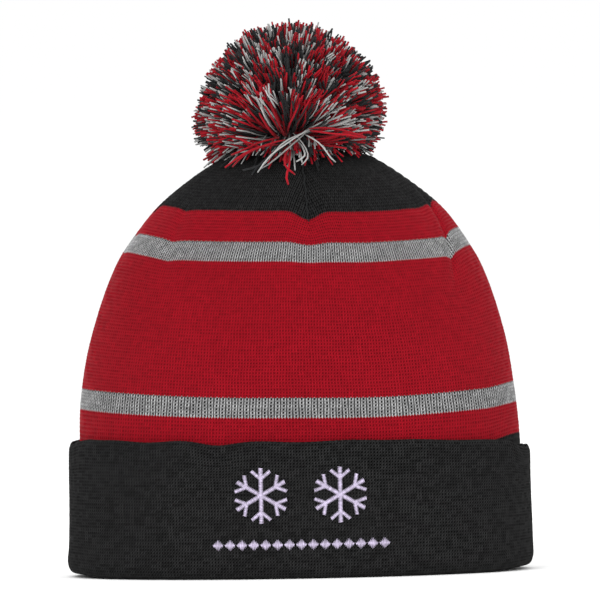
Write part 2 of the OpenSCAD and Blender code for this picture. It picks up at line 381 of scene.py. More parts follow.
# ---- knitted pieces ----

def body_wales(columns_per_wale, height):
    """Where each column of a grid lies among the wales, at each height."""
    count = BODY_WALES * columns_per_wale
    place = np.arange(count) / columns_per_wale
    angles = even_angles(count, *BODY_OVAL)
    seams = np.interp(SEAM_TURN + 90 * np.arange(-1, 5), np.append(angles, 360),
                      np.append(place, BODY_WALES))
    seams[0] = seams[4] - BODY_WALES
    seams[5] = seams[1] + BODY_WALES
    gore = np.searchsorted(seams, place, side="right") - 1
    middle = (seams[gore] + seams[gore + 1]) / 2
    narrow = curve(HALF_WIDTHS, np.minimum(height, CROWN_H)) / curve(HALF_WIDTHS, 172.0)
    kept = np.minimum(narrow, 1) ** 0.6
    return middle[None, :] + (place - middle)[None, :] * kept[:, None]


def knit_band(name, low, high, courses, columns_per_wale=COLUMNS_PER_WALE,
              part=(0, 1), bridge=0.9, declared=True):
    """A band of stockinette between two heights, or a share of its courses."""
    first = round(part[0] * courses) * ROWS_PER_COURSE
    last = round(part[1] * courses) * ROWS_PER_COURSE
    rows = np.arange(first - 1, last + 2)
    all_heights = arc_heights(low, high, courses * ROWS_PER_COURSE + 1)
    step = all_heights[1] - all_heights[0]
    last_step = all_heights[-1] - all_heights[-2]
    padded = np.concatenate([[low - step], all_heights, [high + last_step]])
    h = padded[rows + 1]
    course = (rows / ROWS_PER_COURSE)[:, None]
    wale = body_wales(columns_per_wale, h)
    x = wale - np.floor(wale)
    top = CROWN_H - 0.2
    edge = smooth(top, top - 6, h)[:, None]
    # The legs of the stitches at a change of colour reach a little past it.
    margin = np.exp(-(h - low) / 1.8) + np.exp(-(high - h) / 1.8)
    height = h[:, None] + CHEVRON * np.cos(4 * math.pi * x) * edge * margin[:, None]
    relief = stitch_relief(wale, course + round(low), bridge)
    angles = even_angles(BODY_WALES * columns_per_wale, *BODY_OVAL)
    angle = np.broadcast_to(angles[None, :], height.shape)
    inset = VALLEY_INSET - RELIEF * relief - undulation(angle, height) * edge
    inward, down = creased(height, angle)
    outer = knit_points(height - down, angle, inset + inward)
    inner_h = np.linspace(h[-2], h[1], max(3, int((h[-2] - h[1]) / 5)))[:, None]
    inner_a = np.broadcast_to(angles[None, :], (len(inner_h), len(angles)))
    inner_h = np.broadcast_to(inner_h, inner_a.shape)
    inner_h = inner_h - creased(inner_h, inner_a)[1]
    inner = knit_points(inner_h, inner_a, np.full(inner_h.shape, OUTER_T))
    tone = hashed(np.floor(wale), np.floor(course))
    around = 2 * math.pi * HALF_W * 0.8
    strips = max(1, round(math.sqrt(around / (1.3 * (high - low)))))
    ob = closed_ring(name, outer, inner, strips, relief, tone)
    if declared:
        at = (h[1:-1:2, None] + 0 * angles[None, :])[:, ::4]
        knit_points(at, angle[1:-1:2, ::4], 0 * at)
    return ob


def resample(section, step):
    """Points at even steps along a smooth line through a section's points."""
    p = np.array(section, float)
    ends = np.concatenate([[2 * p[0] - p[1]], p, [2 * p[-1] - p[-2]]])
    fine = []
    for j in range(1, len(ends) - 2):
        t = np.linspace(0, 1, 24, endpoint=False)[:, None]
        a, b, c, d = ends[j - 1], ends[j], ends[j + 1], ends[j + 2]
        fine.append(0.5 * (
            2 * b + (c - a) * t + (2 * a - 5 * b + 4 * c - d) * t**2
            + (3 * b - a - 3 * c + d) * t**3
        ))
    fine = np.concatenate(fine + [p[-1:]])
    length = lengths(fine)
    count = max(2, round(length[-1] / step) + 1)
    even = np.linspace(0, length[-1], count)
    return np.stack([np.interp(even, length, fine[:, j]) for j in (0, 1)], -1), even


# Dips of the cuff's upper edge at the front: angle, depth and width in degrees.
CUFF_DIPS = ((248.5, 1.8, 6.0), (280, 1.3, 12.0), (300, 0.7, 10.0), (322, 0.8, 8.0))
RIGHT_CORNER_DROP = 4.8
LEFT_CORNER_DROP = 1.3


def cuff_wave(angle, z):
    """The slight waves of the cuff's free upper edge, and its lower corners."""
    a = np.radians(angle)
    wave = 0.4 * np.sin(9 * a + 1) + 0.3 * np.sin(17 * a) + 0.3 * np.sin(5 * a + 2)
    for place, deep, wide in CUFF_DIPS:
        off = (angle - place + 180) % 360 - 180
        wave = wave - deep * np.exp(-((off / wide) ** 2))
    wave = wave - RIGHT_CORNER_DROP * smooth(0.9, 0.985, np.cos(a))
    wave = wave - LEFT_CORNER_DROP * smooth(0.92, 1, -np.cos(a))
    return wave * smooth(45, CUFF_H - 3, z)


def cuff_piece(name, first_row, last_row, section, even, back_inset):
    """Some rows of the cuff's face, with a plain wall behind them."""
    columns = CUFF_WALES * CUFF_COLUMNS
    angles = even_angles(columns, *CUFF_OVAL)
    rows = np.clip(np.arange(first_row - 1, last_row + 2), 0, len(section) - 1)
    wale = (np.arange(columns) / CUFF_COLUMNS)[None, :]
    course = (even[rows] / CUFF_COURSE)[:, None]
    relief = stitch_relief(wale, course)
    tangent = np.gradient(section, axis=0)
    tangent /= np.linalg.norm(tangent, axis=1)[:, None]
    # Out of the face is to the left of the way the section runs.
    out = np.stack([-tangent[:, 1], tangent[:, 0]], -1)[rows]
    angle = np.broadcast_to(angles[None, :], relief.shape)
    z_plain = np.broadcast_to(section[rows, 1][:, None], relief.shape)
    sink = VALLEY_INSET - RELIEF * relief
    foot = smooth(0, 3, z_plain)
    sink = sink * (0.25 + 0.75 * foot)
    chevron = 0.1 * (np.abs(2 * (wale % 1) - 1) - 0.5) * foot
    inset = section[rows, 0][:, None] - sink * out[:, 0][:, None]
    z = z_plain - sink * out[:, 1][:, None] + chevron * tangent[rows, 1][:, None]
    z = z + cuff_wave(angle, z_plain)
    inset = inset - 0.6 * undulation(angle, z_plain + 40) * smooth(6, 16, z_plain)
    outer = cuff_points(inset, z, angle)
    shown = section[np.clip(np.arange(first_row, last_row + 1), 0, len(section) - 1)]
    picks = np.linspace(len(shown) - 1, 0, 5).astype(int)
    inner_z = shown[picks, 1][:, None] + 0 * angles[None, :]
    inner_i = back_inset(shown[picks])[:, None] + 0 * angles[None, :]
    inner_a = np.broadcast_to(angles[None, :], inner_z.shape)
    inner_z = inner_z + cuff_wave(inner_a, inner_z)
    inner = cuff_points(inner_i, inner_z, inner_a)
    tone = hashed(np.floor(wale), np.floor(course))
    ob = closed_ring(name, outer, inner, 4, relief, tone)
    return ob


def plain_ring(name, section, columns, ribs, rib_depth, face):
    """A closed ring with soft ribs, from a section of [inset, height] points.

    The first points of the section are one face of the sheet."""
    s = np.array(section, float)
    inset = np.broadcast_to(s[:, 0][:, None], (len(s), columns))
    height = np.broadcast_to(s[:, 1][:, None], (len(s), columns))
    wale = np.arange(columns) * ribs / columns
    rib = 0.5 + 0.5 * np.cos(2 * math.pi * wale)[None, :] + 0 * inset
    oval = CUFF_OVAL if face == "cuff" else BODY_OVAL
    angle = np.broadcast_to(even_angles(columns, *oval)[None, :], inset.shape)
    ribbed = inset + rib_depth * (rib - 0.5)
    if face == "cuff":
        points = cuff_points(ribbed, height + cuff_wave(angle, height), angle)
    else:
        points = knit_points(height, angle, ribbed)
    tone = np.broadcast_to(hashed(np.floor(wale), 1.0)[None, :], inset.shape)
    # The rib's relief also sets painted shade in the valleys between the ribs.
    ob = quad_mesh(
        name, points.reshape(-1, 3), ring_quads(len(s), columns),
        ring_uv(len(s), columns, 2), {"relief": 0.35 + 0.5 * rib, "tone": tone},
    )
    return ob


# ---- tubes ----

def tube_mesh(name, paths, radii, attributes, sides=6):
    """Round yarn along each path of an array of count, steps and 3.

    A radius or an attribute is one number, or one for each path or each step."""
    count, steps = paths.shape[:2]
    radii = np.broadcast_to(radii, (count, steps))
    along = unit(np.gradient(paths, axis=1))
    chord = unit(paths[:, -1] - paths[:, 0] + 1e-6)
    helper = np.where(np.abs(chord[:, 2:3]) < 0.8, [[0.0, 0.0, 1.0]], [[1.0, 0.0, 0.0]])
    first = unit(np.cross(chord, helper))[:, None, :]
    u = unit(first - (first * along).sum(-1, keepdims=True) * along)
    v = np.cross(along, u)
    turn = np.arange(sides) * 2 * math.pi / sides
    ring = (
        np.cos(turn)[None, None, :, None] * u[:, :, None, :]
        + np.sin(turn)[None, None, :, None] * v[:, :, None, :]
    )
    points = paths[:, :, None, :] + radii[:, :, None, None] * ring
    base = (np.arange(count) * steps * sides)[:, None, None]
    k = np.arange(steps - 1)[None, :, None]
    i = np.arange(sides)[None, None, :]
    a = base + k * sides + i
    b = base + k * sides + (i + 1) % sides
    walls = np.stack([a, b, b + sides, a + sides], -1)
    start = np.array([[0, n + 2, n + 1, n] for n in range(1, sides - 2, 2)])
    end = (steps - 1) * sides + start[:, [0, 3, 2, 1]]
    caps = np.concatenate([start, end])[None] + base
    quads = np.concatenate([walls.reshape(count, -1, 4), caps], 1)
    cells = math.ceil(math.sqrt(count))
    n = np.arange(count)
    cell = np.stack([n % cells, n // cells], -1)[:, None, None, :]
    wu = (i[..., None] + np.array([0, 1, 1, 0])) / sides + 0 * k[..., None]
    wv = (k[..., None] + np.array([0, 0, 1, 1])) / (steps - 1) + 0 * i[..., None]
    wall_uv = np.stack([wu, wv], -1).reshape(1, -1, 4, 2)
    cap_uv = np.array([[0, 0], [1, 0], [1, 0.05], [0, 0.05]])
    cap_uv = np.stack([cap_uv] * len(start) + [1 - cap_uv] * len(end))[None, :]
    uv = np.concatenate([wall_uv, cap_uv], 1)
    uv = (cell + 0.1 + 0.8 * uv) / cells
    values = {
        key: np.repeat(np.broadcast_to(value, (count, steps)), sides, axis=1)
        for key, value in attributes.items()
    }
    return quad_mesh(name, points.reshape(-1, 3), quads.reshape(-1, 4),
                     uv.reshape(-1, 2), values)


def bezier(start, control, end, steps):
    """Paths that leave start for control and arrive at end."""
    t = np.linspace(0, 1, steps)[None, :, None]
    start, control, end = start[:, None], control[:, None], end[:, None]
    return (1 - t) ** 2 * start + 2 * t * (1 - t) * control + t**2 * end


# ---- pom ----

POM_CLUMPS = 5150
SKIRT_CLUMPS = 250
SKIRT_PER_CLUMP = 4
# Shares of red, black and grey.
POM_SHARES = [0.37, 0.40, 0.23]
SKIRT_SHARES = [0.42, 0.28, 0.30]
# How far below level the ball's strands go, at the sides and at the front.
LOW_SIDE = -15.0
LOW_FRONT = -20.0
STRAND_STEPS = 8
STRAND_R = 0.46
CLUMP_LEAN = 3.4
TRIM_DEPTH = 13.5
LONG_SHARE = 0.05
SKIRT_REACH = (37.5, 48.5)
# How far from the parting the nearest strands point, in degrees, and how far back from
# its end a flared strand bends.
OPENING = 26
FLARE_BACK = 24
BALL_CENTRE = np.array([-2.0, 0.0, POM_Z])
TIE = np.array([-1.0, -2.0, PIVOT_Z - 1.0])
PARTING = np.array([-0.04, -0.93, -0.36])
# Where the ball is clipped shorter: a direction, by how many millimetres, and how near
# to it that starts, as a cosine.
CLIPPED = (
    ((-0.88, 0.0, 0.47), 2.2, 0.78),
    ((0.95, 0.0, -0.3), 2.0, 0.88),
)
# Loose strands at the front: colour number, how many, start, bend and end.
TAILS = (
    (2, 3, (10, -36, 227), (-4, -54, 219), (-18, -45, 205)),
    (0, 2, (-2, -36, 219), (-4, -53, 212), (-3, -48, 200)),
    (2, 2, (0, -38, 221), (7, -54, 216), (3, -49, 206)),
    (2, 1, (6, -40, 222), (13, -52, 219), (20, -46, 212)),
    (0, 3, (-6, -38, 222), (-20, -50, 218), (-32, -40, 209)),
    (1, 2, (-4, -38, 220), (-14, -52, 214), (-24, -43, 206)),
    (2, 2, (-8, -44, 238), (-12, -56, 244), (-14, -50, 249)),
    (0, 2, (8, -42, 226), (22, -52, 226), (36, -38, 219)),
)


def clump_directions(rng, count, low_side, low_front):
    """Directions over the ball, down to a lowest elevation that turns with azimuth."""
    n = np.arange(count)
    z = 1 - (2 * n + 1) / count
    a = n * math.pi * (3 - math.sqrt(5))
    r = np.sqrt(1 - z * z)
    d = np.stack([r * np.cos(a), r * np.sin(a), z], -1)
    d = unit(d + rng.normal(0, 0.05, (count, 3)))
    azimuth = np.arctan2(d[:, 1], d[:, 0])
    low = low_side + (low_front - low_side) * np.sin(azimuth) ** 2
    return d[np.degrees(np.arcsin(d[:, 2])) > low]


def pom_strands(seed):
    """Every strand that turns with the pom: its path, and its colour number."""
    rng = np.random.default_rng(seed)
    clumps = clump_directions(rng, POM_CLUMPS, LOW_SIDE, LOW_FRONT)
    sizes = rng.integers(1, 5, len(clumps))
    colour = np.repeat(rng.choice(3, len(clumps), p=POM_SHARES), sizes)
    lean = np.repeat(rng.normal(0, CLUMP_LEAN, (len(clumps), 3)), sizes, axis=0)
    trim = np.repeat(-TRIM_DEPTH * rng.random(len(clumps)) ** 2 + 0.8, sizes)
    d = np.repeat(clumps, sizes, axis=0)
    count = len(d)
    d = unit(d + rng.normal(0, 0.022, d.shape))
    # The ball opens in front, away from the parting, so that its middle shows.
    parting = unit(PARTING)
    near = np.clip(d @ parting, -1, 1)
    off = np.degrees(np.arccos(near))
    opened = np.where(off < 90, OPENING + off * (90 - OPENING) / 90, off)
    side = unit(d - near[:, None] * parting)
    turned = np.radians(opened)
    d = np.cos(turned)[:, None] * parting + np.sin(turned)[:, None] * side
    reach = POM_R - 0.8 + trim + rng.normal(0, 0.9, count)
    long = rng.random(count) < LONG_SHARE
    reach = np.where(long, POM_R + rng.uniform(-0.5, 1.8, count), reach)
    for toward, shorter, start in CLIPPED:
        reach = reach - shorter * smooth(start, 1, d @ unit(np.array(toward)))
    end = BALL_CENTRE + reach[:, None] * d
    root = TIE + rng.normal(0, 1.5, (count, 3)) + 2.5 * d
    root[:, 2] = np.maximum(root[:, 2], PIVOT_Z - 1.5)
    pull = np.exp(-((opened / 40) ** 2))[:, None]
    flat = 1 - np.abs(d[:, 2:3])
    rise = np.array([0.0, 0.0, 1.0]) * flat * 3.5
    control = root + 0.55 * (end - root) + rise + 9 * pull * parting
    flared = 0.8 * smooth(112, 45, opened)[:, None]
    outward = end - FLARE_BACK * np.minimum(np.sin(turned) * 2.2, 1)[:, None] * side
    control = control + flared * (outward - control)
    control = control + lean + rng.normal(0, 1.3, (count, 3))
    for shade, number, *line in TAILS:
        line = np.array(line, float)[:, None, :] + rng.normal(0, 1.8, (3, number, 3))
        root, control, end = (np.concatenate([a, b]) for a, b in
                              zip((root, control, end), line))
        colour = np.append(colour, [shade] * number)
    return bezier(root, control, end, STRAND_STEPS), colour, rng


def crown_table(azimuth):
    """Radius, height and true azimuth of the crown's surface, from the top down."""
    h = np.linspace(CROWN_H, 165, 60)[None, :]
    a = np.degrees(azimuth)[:, None]
    p = surface(h + 0 * a, a + 0 * h)
    return np.hypot(p[..., 0], p[..., 1]), p[..., 2], np.arctan2(p[..., 1], p[..., 0])


def skirt_strands(seed):
    """Strands that lie on the crown's shoulders, and stay with the cap."""
    rng = np.random.default_rng(seed)
    clumps, per = SKIRT_CLUMPS, SKIRT_PER_CLUMP
    azimuth = rng.uniform(0, 2 * math.pi, clumps)
    colour = np.repeat(rng.choice(3, clumps, p=SKIRT_SHARES), per)
    azimuth = np.repeat(azimuth, per) + rng.normal(0, 0.05, clumps * per)
    count = len(azimuth)
    radius, height, real_azimuth = crown_table(azimuth)
    to_right = np.maximum(np.cos(azimuth), 0) ** 2
    to_left = np.maximum(-np.cos(azimuth), 0) ** 2
    reach = rng.uniform(*SKIRT_REACH, count) - 5.5 * np.sin(azimuth) ** 2
    reach = reach - 5.5 * to_right - 2.0 * to_left
    share = np.linspace(0, 1, STRAND_STEPS)[None, :]
    rho = 4 + (reach[:, None] - 4) * share
    z = np.stack([np.interp(rho[n], radius[n], height[n]) for n in range(count)])
    low = np.radians(8.0 + 9.0 * np.sin(azimuth) ** 2)
    top_z = PIVOT_Z - reach * np.tan(low) + 1.0
    room = np.maximum(top_z - z[:, -1], 2.0)
    lay = np.repeat(rng.random(clumps), per) * room
    z = z + 1.5 + np.maximum(lay[:, None] * share**0.8, 0)
    z = z + 3.0 * np.sin(math.pi * share) * rng.random((count, 1))
    bend = rng.normal(0, 0.12, (count, 1)) * share**2
    a = real_azimuth[:, :1] + bend
    return np.stack([rho * np.cos(a), rho * np.sin(a), z], -1), colour, rng


def strand_radii(rng, count):
    """Radii along each strand: thin at its root, and a little thicker near its cut end."""
    base = STRAND_R * rng.uniform(0.85, 1.12, (count, 1))
    shape = np.full(STRAND_STEPS, 1.0)
    shape[0] = 0.6
    shape[-2] = 1.03
    shape[-1] = 0.9
    return base * shape[None, :] * rng.uniform(0.93, 1.07, (count, STRAND_STEPS))


def yarn_pieces(label, body, strands, replace):
    """One piece for each colour of yarn, with a slight wave in every strand."""
    paths, colour, rng = strands
    share = np.linspace(0, 1, paths.shape[1])[None, :, None]
    phase = rng.uniform(0, 2 * math.pi, (len(paths), 1, 3))
    swing = rng.uniform(0.3, 1.0, (len(paths), 1, 3))
    paths = paths + swing * share * np.sin(2 * math.pi * 1.3 * share + phase)
    radii = strand_radii(rng, len(paths))
    tone = rng.random(len(paths))
    for n, (shade, material, thick) in enumerate(YARNS):
        mine = colour == n
        # How far out from the ball's centre, which sets the painted shade inside the pom.
        out = np.linalg.norm(paths[mine] - BALL_CENTRE, axis=-1) / POM_R
        ob = tube_mesh(f"{label}_{shade}", paths[mine], thick * radii[mine],
                       {"out": out, "tone": tone[mine][:, None]}, sides=4)
        node = f"pom_{shade}_yarn" if replace else None
        dress(ob, material(), node, body)


# ---- cords and knots ----

def cord_tube(name, points, r, steps):
    """A two-ply cord along a smooth closed or open line of points."""
    p = np.array(points, float)
    length = lengths(p)
    even = np.linspace(0, length[-1], steps)
    line = np.stack([np.interp(even, length, p[:, j]) for j in range(3)], -1)
    along = unit(np.gradient(line, axis=0))
    helper = np.array([0.31, 0.27, 0.91])
    u = unit(np.cross(along, helper))
    v = np.cross(along, u)
    plies = []
    for start in (0, math.pi):
        turn = start + even / (2.4 * r)
        plies.append(line + 0.5 * r * (np.cos(turn)[:, None] * u + np.sin(turn)[:, None] * v))
    return tube_mesh(name, np.stack(plies), 0.56 * r, {"out": 0.8, "tone": 0.5})


def knot_line(centre, size):
    """A trefoil, the shape of a simple knot."""
    t = np.linspace(0, 2 * math.pi, 90)
    x = np.sin(t) + 2 * np.sin(2 * t)
    y = np.cos(t) - 2 * np.cos(2 * t)
    z = -np.sin(3 * t) * 1.3
    return np.array(centre) + size / 3 * np.stack([x, y, z], -1)


def helix_line(r, bottom, top, turns):
    """A winding round the upright axis."""
    t = np.linspace(0, 1, turns * 24)
    a = 2 * math.pi * turns * t
    return np.stack([r * np.cos(a), r * np.sin(a), bottom + (top - bottom) * t], -1)


# ---- embroidery ----

THREAD_R = 0.21
THREAD_PITCH = 0.36
THREAD_STEPS = 7


def on_cuff(x, z, out):
    """Points over the front of the cuff, from places on its flat view."""
    angle = -np.degrees(np.arccos(x / CUFF_HALF_W))
    return cuff_points(-out, z, angle)


def satin_bar(centre, turn, low, high, width_at):
    """Threads laid side by side across a bar that runs from low to high."""
    paths = []
    c, s = math.cos(math.radians(turn)), math.sin(math.radians(turn))
    steps = np.linspace(-1, 1, THREAD_STEPS)
    for n, t in enumerate(np.arange(low, high, THREAD_PITCH)):
        w = width_at(t) / 2
        across = steps * w
        slant = 0.16 * (1 if n % 2 else -1)
        along = t + slant * steps
        x = centre[0] + along * c - across * s
        z = centre[1] + along * s + across * c
        out = 0.05 + 0.8 * np.sqrt(np.maximum(1 - steps**4, 0)) + 0.04 * (n % 2)
        paths.append(on_cuff(x, z, out))
    return paths


def embroidered(name, paths, rng):
    """A piece of embroidery from the paths of its threads."""
    paths = np.array(paths)
    radii = THREAD_R * rng.uniform(0.92, 1.08, paths.shape[:2])
    tone = rng.random((len(paths), 1))
    # The arch is lowest at the thread's ends, where it sets painted shade.
    arch = np.sin(np.linspace(0.25, math.pi - 0.25, THREAD_STEPS))
    return tube_mesh(name, paths, radii, {"out": arch, "tone": tone})


def snowflake(name, side, rng):
    """Three bars that cross, with two twigs near the end of each of the six arms."""
    centre = (side * FLAKE_X, FLAKE_Z)
    paths = []
    for k in range(3):
        paths += satin_bar(centre, 30 + 60 * k, -FLAKE_W / 2, FLAKE_W / 2, lambda t: ARM_W)
    for k in range(6):
        arm = math.radians(30 + 60 * k)
        root = (centre[0] + 0.3 * FLAKE_W * math.cos(arm),
                centre[1] + 0.3 * FLAKE_W * math.sin(arm))
        for turn in (-50, 50):
            paths += satin_bar(root, 30 + 60 * k + turn, 0.6, TWIG_L, lambda t: TWIG_W)
    return embroidered(name, paths, rng)


def border(name, rng):
    """A row of small diamonds."""
    paths = []
    half = DIAMOND_SIDE / math.sqrt(2)
    for k in range(BORDER_COUNT):
        x = (k - (BORDER_COUNT - 1) / 2) * BORDER_PITCH
        paths += satin_bar((x, BORDER_Z), 0, -half + 0.3, half - 0.2,
                           lambda t: 2 * (half - abs(t)) + 0.2)
    return embroidered(name, paths, rng)


# ---- materials ----

def node_tree(name):
    """A new material, with its nodes and its shader."""
    material = bpy.data.materials.new(name)
    material.use_nodes = True
    tree = material.node_tree
    return material, tree, tree.nodes["Principled BSDF"]


def set_inputs(node, **inputs):
    """Sets inputs of a node, named with underscores for their spaces."""
    for key, value in inputs.items():
        node.inputs[key.replace("_", " ")].default_value = value
    return node


def add(tree, kind, **inputs):
    """A new node with some of its inputs set."""
    return set_inputs(tree.nodes.new(kind), **inputs)


def math_node(tree, operation, a, b=0.0, c=0.0):
    """One step of arithmetic on numbers or on other nodes' outputs."""
    node = tree.nodes.new("ShaderNodeMath")
    node.operation = operation
    for socket, value in zip(node.inputs, (a, b, c)):
        if isinstance(value, (int, float)):
            socket.default_value = value
        else:
            tree.links.new(value, socket)
    return node.outputs[0]


def attribute(tree, name):
    """The output of a mesh attribute of one number per point."""
    node = tree.nodes.new("ShaderNodeAttribute")
    node.attribute_name = name
    return node.outputs["Fac"]


def object_noise(tree, scale, detail, stretch=(1, 1, 1)):
    """Noise that is fixed to the object, from 0 to 1."""
    place = tree.nodes.new("ShaderNodeTexCoord")
    mapping = add(tree, "ShaderNodeMapping", Scale=stretch)
    tree.links.new(place.outputs["Object"], mapping.inputs["Vector"])
    noise = add(tree, "ShaderNodeTexNoise", Scale=scale, Detail=detail, Roughness=0.6)
    tree.links.new(mapping.outputs["Vector"], noise.inputs["Vector"])
    return noise.outputs["Fac"]


def product(tree, *factors):
    """The product of factors, each made from an output, its gain and its least value."""
    result = None
    for output, gain, least in factors:
        factor = math_node(tree, "MULTIPLY_ADD", output, gain, least)
        result = factor if result is None else math_node(tree, "MULTIPLY", result, factor)
    return result


def shaded_colour(tree, colour, shade, low, high):
    """The colour times a factor that runs from low to high with shade."""
    factor = math_node(tree, "MULTIPLY_ADD", shade, high - low, low)
    mix = tree.nodes.new("ShaderNodeVectorMath")
    mix.operation = "SCALE"
    mix.inputs[0].default_value = colour
    tree.links.new(factor, mix.inputs["Scale"])
    return mix.outputs[0]


def bump_into(tree, shader, height, strength, distance):
    """Fine relief for a shader, from a height."""
    bump = add(tree, "ShaderNodeBump", Strength=strength, Distance=distance)
    tree.links.new(height, bump.inputs["Height"])
    tree.links.new(bump.outputs["Normal"], shader.inputs["Normal"])


def knit_material(name, colour, crevice, bright, uneven, sheen, power):
    """Knitted yarn: painted shade between the stitches, uneven from stitch to stitch, fuzzy.
    """
    material, tree, shader = node_tree(name)
    fibres = object_noise(tree, 2600, 3)
    shade = product(
        tree,
        # Painted shade: the colour darkens where the yarn's relief is low, in the gaps
        # between the stitches.
        (math_node(tree, "POWER", attribute(tree, "relief"), power), 1 - crevice, crevice),
        (attribute(tree, "tone"), uneven, 1 - uneven / 2),
        (fibres, 0.5, 0.75),
        (object_noise(tree, 28, 3), 0.24, 0.88),
    )
    tree.links.new(shaded_colour(tree, colour, shade, 0, bright), shader.inputs["Base Color"])
    set_inputs(shader, Roughness=0.92, Specular_IOR_Level=0.04, Sheen_Weight=sheen,
               Sheen_Roughness=0.5)
    bump_into(tree, shader, fibres, 0.5, 0.00022)
    return material


def yarn_material(name, colour, bright):
    """Loose yarn: painted shade towards the middle of the pom, each strand a little its own.
    """
    material, tree, shader = node_tree(name)
    fibres = object_noise(tree, 2200, 3)
    shade = product(
        tree,
        # Painted shade: the colour darkens as out, the distance from the ball's centre, gets
        # smaller.
        (math_node(tree, "POWER", attribute(tree, "out"), 1.6), 0.65, 0.35),
        (attribute(tree, "tone"), 0.45, 0.75),
        (fibres, 0.7, 0.65),
    )
    tree.links.new(shaded_colour(tree, colour, shade, 0, bright), shader.inputs["Base Color"])
    set_inputs(shader, Roughness=0.85, Specular_IOR_Level=0.12, Sheen_Weight=0.06,
               Sheen_Roughness=0.4)
    bump_into(tree, shader, fibres, 0.6, 0.0003)
    return material


def satin_material(name, colour):
    """Shiny embroidery thread, with painted shade towards the ends of each thread."""
    material, tree, shader = node_tree(name)
    fibres = object_noise(tree, 3000, 2)
    shade = product(
        tree,
        (attribute(tree, "tone"), 0.45, 0.72),
        # Painted shade: darker towards each thread's ends, where it dips into the cuff.
        (attribute(tree, "out"), 0.6, 0.45),
        (object_noise(tree, 650, 2), 1.1, 0.45),
        (fibres, 0.2, 0.9),
    )
    tree.links.new(shaded_colour(tree, colour, shade, 0, 1.25), shader.inputs["Base Color"])
    set_inputs(shader, Roughness=0.42, Specular_IOR_Level=0.5, Sheen_Weight=0.15)
    bump_into(tree, shader, fibres, 0.25, 0.0001)
    return material


def backing_material():
    """Thin white non-woven backing, full of short crossed fibres."""
    material, tree, shader = node_tree("backing_web")
    web = object_noise(tree, 900, 6, (1, 1, 0.4))
    tree.links.new(shaded_colour(tree, (0.75, 0.75, 0.73), web, 0.7, 1.15),
                   shader.inputs["Base Color"])
    set_inputs(shader, Roughness=0.95)
    bump_into(tree, shader, web, 0.5, 0.0002)
    return material


_made = {}


def once(key, make, *args, **options):
    """A material that several pieces share is made the first time it is asked for."""
    if key not in _made:
        _made[key] = make(key, *args, **options)
    return _made[key]


def red_knit():
    return once("red_wool", knit_material, RED, crevice=0.34, bright=1.4, uneven=0.16,
                sheen=0.055, power=2.2)


def black_knit():
    return once("black_wool", knit_material, BLACK, crevice=0.0, bright=1.8, uneven=0.34,
                sheen=0.01, power=2.8)


def grey_knit():
    return once("grey_wool", knit_material, GREY, crevice=0.0, bright=1.6, uneven=0.25,
                sheen=0.04, power=2.8)


def red_yarn():
    return once("red_yarn_look", yarn_material, YARN_RED, 1.25)


def black_yarn():
    return once("black_yarn_look", yarn_material, YARN_BLACK, 1.25)


def grey_yarn():
    return once("grey_yarn_look", yarn_material, YARN_GREY, 1.2)


# Each yarn has its material and how thick it looks beside the others.
YARNS = (("red", red_yarn, 1.14), ("black", black_yarn, 1.0), ("grey", grey_yarn, 0.92))


def dress(ob, material, node=None, body="hat"):
    """Gives a piece its material, its body and the node that it replaces."""
    ob.data.materials.clear()
    ob.data.materials.append(material)
    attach(ob, body)
    if node:
        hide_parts(node)


# ---- whole pieces ----

def build_body():
    """The outer layer, from the lowest red band up, then the base and the crown."""
    red, grey = (red_knit, "red_knit", 0.9), (grey_knit, "grey_knit", 0.5)
    main = (LOWER_STRIPE[1], UPPER_STRIPE[0], 42)
    upper_red = (UPPER_STRIPE[1], CROWN_START, 10)
    whole = (0, 1)
    for name, node, (low, high, courses), part, (material, slot, bridge) in (
        ("lower_red_knit", "lower_red_band", (BASE_TOP, LOWER_STRIPE[0], 9), whole, red),
        ("lower_grey_knit", "lower_grey_stripe", (*LOWER_STRIPE, 6), whole, grey),
        ("main_red_knit_low", "main_red_band", main, (0, 1 / 3), red),
        ("main_red_knit_middle", "main_red_band", main, (1 / 3, 2 / 3), red),
        ("main_red_knit_high", "main_red_band", main, (2 / 3, 1), red),
        ("upper_grey_knit", "upper_grey_stripe", (*UPPER_STRIPE, 6), whole, grey),
        ("upper_red_knit", "upper_red_band", upper_red, whole, red),
    ):
        ob = knit_band(name, low, high, courses, part=part, bridge=bridge)
        dress(ob, material(), node)
    join = BASE_TOP - BASE_SEEN
    base = knit_band("base_knit_top", join, BASE_TOP, 4, declared=False)
    dress(base, black_knit(), "base_band")
    heights = np.linspace(6.5, join, 12)
    section = [[0.3, h] for h in heights] + [[OUTER_T, h] for h in heights[::-1]]
    lower = plain_ring("base_knit_hidden", section, 720, BODY_WALES, 0.4, "body")
    dress(lower, black_knit(), "base_band")
    for name, part in (("crown_knit_low", (0, 0.5)), ("crown_knit_high", (0.5, 1))):
        columns = 6 if part[0] == 0 else 4
        ob = knit_band(name, CROWN_START, CROWN_H, 36, columns, part, bridge=0.72)
        dress(ob, black_knit(), "crown_section")


def build_lining():
    """The inner layer, from the foot up to the top hole."""
    outside = np.linspace(4, CROWN_H, 24)
    inside = np.linspace(CROWN_H, 4, 110)
    section = [[LINING_OUT, h] for h in outside] + [[LINING_IN, h] for h in inside]
    ob = plain_ring("lining_knit", section, BODY_WALES * 4, BODY_WALES, 0.7, "body")
    dress(ob, black_knit(), "lining")


